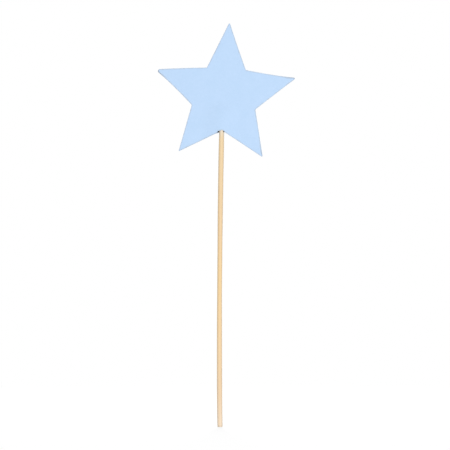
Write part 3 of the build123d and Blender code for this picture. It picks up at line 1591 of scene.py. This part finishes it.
@dataclass
class Studio:
    """The white set: a floor, soft lamps, a pale surround and the camera."""

    lamps: tuple[SoftLamp, ...]
    frame_width: float = 226.9 * MM
    frame_centre: tuple[float, float] = (2.67 * MM, 101.8 * MM)
    lens: float = 300.0
    sensor: float = 36.0
    near_clip: float = 10.0 * MM
    surround: float = 0.4
    floor_reach: float = 0.6
    floor_tint: Tint = (142, 142, 142)
    floor_glow: float = 0.8
    floor_rough: float = 0.9
    shadow_span: Span = (0.25, 0.5)

    def build(self) -> None:
        """Adds the surround, floor, lamps and camera."""
        bpy.context.scene.view_settings.view_transform = "Standard"
        self.add_surround()
        self.add_floor()
        target = Vector((self.frame_centre[0], 0.0, self.frame_centre[1]))
        for lamp in self.lamps:
            lamp.build(target)
        self.add_camera()

    def strength(self, wiring: Wiring) -> bpy.types.NodeSocket:
        """Brightness of the set.

        Args:
            wiring: Where the nodes go.

        Returns:
            Full white where the set is seen, and less as a light on the object.
        """
        path = wiring.add("ShaderNodeLightPath").outputs
        gloss = wiring.maths("MAXIMUM", path["Is Glossy Ray"], path["Is Transmission Ray"])
        seen = wiring.maths("MAXIMUM", path["Is Camera Ray"], gloss)
        return wiring.maths("MULTIPLY_ADD", seen, 1.0 - self.surround, self.surround)

    def add_surround(self) -> None:
        """Lights the set evenly from all round, and shows as white."""
        world = bpy.data.worlds.new("pale_surround")
        world.use_nodes = True
        wiring = Wiring(world.node_tree)
        world.node_tree.nodes.clear()
        inputs = {"Color": linear(WHITE), "Strength": self.strength(wiring)}
        backdrop = wiring.add("ShaderNodeBackground", inputs)
        wiring.add("ShaderNodeOutputWorld", {"Surface": backdrop.outputs[0]})
        bpy.context.scene.world = world

    def add_floor(self) -> None:
        """Adds a floor that takes the shadow, fades into the surround and is clear from below."""
        signs = ((-1, -1), (1, -1), (1, 1), (-1, 1))
        corners = [(x * self.floor_reach, y * self.floor_reach, 0.0) for x, y in signs]
        mesh = bpy.data.meshes.new("floor")
        mesh.from_pydata(corners, [], [range(len(corners))])
        floor = bpy.data.objects.new("floor", mesh)
        bpy.context.scene.collection.objects.link(floor)
        material, wiring, shader = new_material("pale_floor")
        inputs = {0: wiring.place()}
        gap = wiring.add("ShaderNodeVectorMath", inputs, operation="LENGTH").outputs["Value"]
        far = wiring.span(gap, *self.shadow_span)
        glow = wiring.maths("MULTIPLY_ADD", far, 1.0 - self.floor_glow, self.floor_glow)
        wiring.feed(shader, {
            "Base Color": wiring.mix(far, linear(self.floor_tint), linear(BLACK)),
            "Roughness": self.floor_rough,
            "Specular IOR Level": 0.0,
            "Emission Color": linear(WHITE),
            "Emission Strength": wiring.maths("MULTIPLY", self.strength(wiring), glow),
        })
        under = wiring.add("ShaderNodeNewGeometry").outputs["Backfacing"]
        clear = wiring.add("ShaderNodeBsdfTransparent").outputs[0]
        sides = wiring.add("ShaderNodeMixShader", {0: under, 1: shader.outputs[0], 2: clear})
        out = material.node_tree.nodes["Material Output"]
        wiring.feed(out, {"Surface": sides.outputs[0]})
        mesh.materials.append(material)

    def add_camera(self) -> None:
        """Sets the camera square to the star's face, at the photograph's framing."""
        data = bpy.data.cameras.new("camera")
        data.lens = self.lens
        data.sensor_width = self.sensor
        data.clip_start = self.near_clip
        distance = self.frame_width * self.lens / self.sensor
        camera = bpy.data.objects.new("camera", data)
        camera.location = (self.frame_centre[0], -distance, self.frame_centre[1])
        camera.rotation_euler = (QUARTER_TURN, 0.0, 0.0)
        bpy.context.scene.collection.objects.link(camera)
        bpy.context.scene.camera = camera


# Each stop is a distance to the right of the stick and how much too deep the blade cut there.
FRONT_NICK = Nick((
    (-3.2 * MM, 0.0),
    (-2.6 * MM, 0.06 * MM),
    (-2.1 * MM, 0.14 * MM),
    (-1.87 * MM, 0.54 * MM),
    (-1.6 * MM, 0.54 * MM),
    (-1.3 * MM, 0.44 * MM),
    (-0.7 * MM, 0.32 * MM),
    (0.0, 0.25 * MM),
    (0.9 * MM, 0.18 * MM),
    (1.9 * MM, 0.0),
))
BACK_NICK = Nick((
    (-3.0 * MM, 0.0),
    (-2.2 * MM, -0.2 * MM),
    (-1.4 * MM, -0.22 * MM),
    (-0.9 * MM, 0.0),
))
BACK_SKEW = 0.05

# Places are distances to the right of the stick and above its entry.
# Painted shade in the channel mouth left of the stick, on the back card's inner face, and the darker
# painted rim of the inner faces.
CHANNEL_SHADE_PLACE = (-1.6 * MM, -0.55 * MM)
CHANNEL_SHADE_TINT: Tint = (14, 16, 20)
CHANNEL_SHADE_REACH = 1.0 * MM
INSIDE_RIM_SHADE: Tint = (140, 152, 168)
# Painted shadow of the front card's edge on the stick, right of its middle.
CARD_EDGE_SHADOW_PLACE = (0.95 * MM, -0.5 * MM)
CARD_EDGE_SHADOW_DEPTH = -0.8 * MM
CARD_EDGE_SHADOW_TINT: Tint = (120, 116, 98)
CARD_EDGE_SHADOW_REACH = 0.6 * MM

# Lamps are placed and sized in metres, and their power is in watts.
LAMPS = (
    SoftLamp(LampRole.KEY, place=(0.222, -1.381, 0.22), size=0.32, power=11.4),
    SoftLamp(LampRole.BACK, place=(0.0, 1.25, 0.7), size=0.3, power=12.5),
)


def main() -> None:
    """Builds the cards, the stick and the glue, then the set round them."""
    logging.basicConfig(level=logging.INFO, format="%(name)s: %(message)s")
    route = StickRoute()
    shape = StarShape(route)
    stick_low, stick_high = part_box("stick")
    film_low, film_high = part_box("glue_layer")
    front_low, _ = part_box("front_star")
    radius = (stick_high.y - stick_low.y) / 2
    form = CardForm(route, shape, radius, film_half=(film_high.y - film_low.y) / 2)
    thickness = -front_low.y - radius
    # The inner faces carry painted shade: a darker rim and a near-black spot in the channel mouth.
    channel_shade_place = form.placed(route.beside(*CHANNEL_SHADE_PLACE), Side.BACK, 0.0)
    darkening = Spot(channel_shade_place, CHANNEL_SHADE_TINT, CHANNEL_SHADE_REACH)
    inner_face = CardFinish("card_inside", seed=4.6, spot=darkening, rim_shade=INSIDE_RIM_SHADE, rim_shade_share=1.0)
    inside = inner_face.material()
    cards = (
        StarCard(
            name="front_card",
            node="front_star",
            slot="front_card",
            side=Side.FRONT,
            form=form,
            face=CardFinish("front_card_face", seed=1.3),
            edge=CutEdgeFinish("front_card_edge", seed=1.9),
            inside=inside,
            nick=FRONT_NICK,
            skew=0.0,
            thickness=thickness,
        ),
        StarCard(
            name="back_card",
            node="back_star",
            slot="back_card",
            side=Side.BACK,
            form=form,
            face=CardFinish("back_card_face", seed=6.4),
            edge=CutEdgeFinish("back_card_edge", seed=7.2),
            inside=inside,
            nick=BACK_NICK,
            skew=BACK_SKEW,
            thickness=thickness,
        ),
    )
    # The front card's edge casts a painted shadow on the stick here.
    card_edge_shadow_place = route.beside(*CARD_EDGE_SHADOW_PLACE) + Vector((0.0, CARD_EDGE_SHADOW_DEPTH, 0.0))
    card_edge_shadow = Spot(card_edge_shadow_place, CARD_EDGE_SHADOW_TINT, CARD_EDGE_SHADOW_REACH)
    stick = BambooStick(route, radius, BambooFinish(card_edge_shadow), EndGrainFinish())
    pieces = [card.build() for card in cards]
    pieces.append(stick.build())
    pieces += GlueJoint(form, stick, GlueFinish()).build()
    for piece in pieces:
        mesh = piece.data
        LOG.info("%s: %d points, %d faces", piece.name, len(mesh.vertices), len(mesh.polygons))
    Studio(LAMPS).build()


if __name__ == "__main__":
    main()
